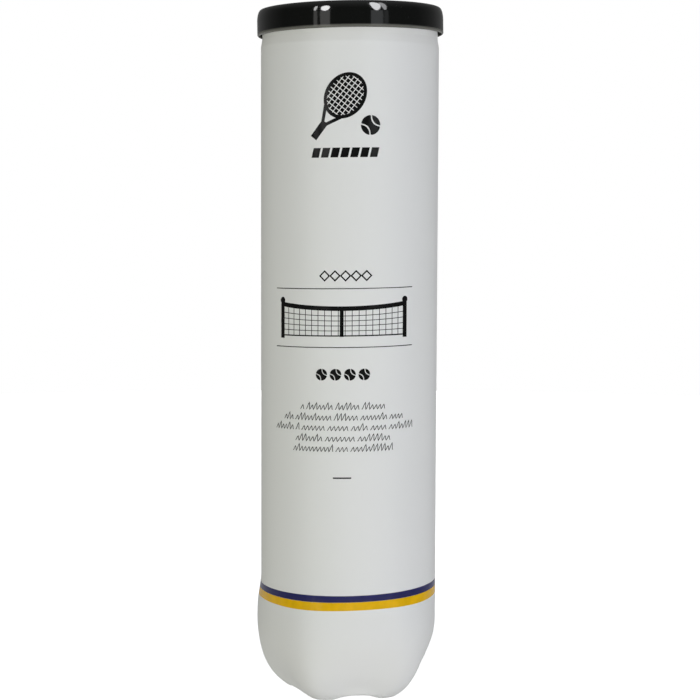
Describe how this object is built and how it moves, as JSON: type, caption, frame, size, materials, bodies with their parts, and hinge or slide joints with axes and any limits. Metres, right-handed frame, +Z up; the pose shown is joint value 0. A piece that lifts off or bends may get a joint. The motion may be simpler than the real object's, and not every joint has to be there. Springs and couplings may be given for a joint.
{
  "type": "tennis ball can",
  "caption": "Tall white plastic can with a footed base, a press-on black lid over a ring-pull metal end, and felt balls stacked inside.",
  "frame": {"origin": "on the surface the can stands on, on the can's axis, in the middle of its feet", "axes": "+Z up along the can's axis; -Y is the printed front; +X is the side of the metal end that the ring-pull's nose points to"},
  "size_m": [0.0768, 0.0768, 0.2814],
  "materials": {
    "white_pet": "satin white, printed outside",
    "aluminium": "bright rolled sheet",
    "compound": "matt grey sealing compound",
    "black_lid": "glossy black",
    "ball_rubber": "matt dark rubber",
    "ball_felt": "fuzzy optic yellow felt",
    "ball_seam": "matt pale rubber cement"
  },
  "bodies": {
    "can": {"can_body": "white_pet", "end_ring": "aluminium", "sealing_compound": "compound"},
    "ball_1": {"ball_1_core_lower": "ball_rubber", "ball_1_core_upper": "ball_rubber", "ball_1_felt_a": "ball_felt", "ball_1_felt_b": "ball_felt", "ball_1_seam": "ball_seam"},
    "ball_2": {"ball_2_core_lower": "ball_rubber", "ball_2_core_upper": "ball_rubber", "ball_2_felt_a": "ball_felt", "ball_2_felt_b": "ball_felt", "ball_2_seam": "ball_seam"},
    "ball_3": {"ball_3_core_lower": "ball_rubber", "ball_3_core_upper": "ball_rubber", "ball_3_felt_a": "ball_felt", "ball_3_felt_b": "ball_felt", "ball_3_seam": "ball_seam"},
    "ball_4": {"ball_4_core_lower": "ball_rubber", "ball_4_core_upper": "ball_rubber", "ball_4_felt_a": "ball_felt", "ball_4_felt_b": "ball_felt", "ball_4_seam": "ball_seam"},
    "tear_panel": {"tear_panel": "aluminium", "tab_tongue": "aluminium"},
    "pull_ring": {"pull_ring": "aluminium"},
    "lid": {"lid": "black_lid"}
  },
  "joints": [
    {"name": "ball_1_lift", "type": "slide", "parent": "can", "child": "ball_1", "axis": [0, 0, 1], "range_m": [0, 0.275]},
    {"name": "ball_2_lift", "type": "slide", "parent": "ball_1", "child": "ball_2", "axis": [0, 0, 1], "range_m": [0, 0.209]},
    {"name": "ball_3_lift", "type": "slide", "parent": "ball_2", "child": "ball_3", "axis": [0, 0, 1], "range_m": [0, 0.143]},
    {"name": "ball_4_lift", "type": "slide", "parent": "ball_3", "child": "ball_4", "axis": [0, 0, 1], "range_m": [0, 0.077]},
    {"name": "panel_tear_off", "type": "slide", "parent": "ball_4", "child": "tear_panel", "axis": [0, 0, 1], "range_m": [0, 0.03]},
    {"name": "lid_lift", "type": "slide", "parent": "tear_panel", "child": "lid", "axis": [0, 0, 1], "range_m": [0, 0.1]},
    {"name": "ring_lift", "type": "hinge", "parent": "tear_panel", "child": "pull_ring", "pos_m": [0.031, 0, 0.2743], "axis": [0, 1, 0], "range_deg": [0, 95]}
  ],
  "couplings": [
    {"joint": "ring_lift", "follows": "lid_lift", "rad_per_m": 16.5}
  ]
}
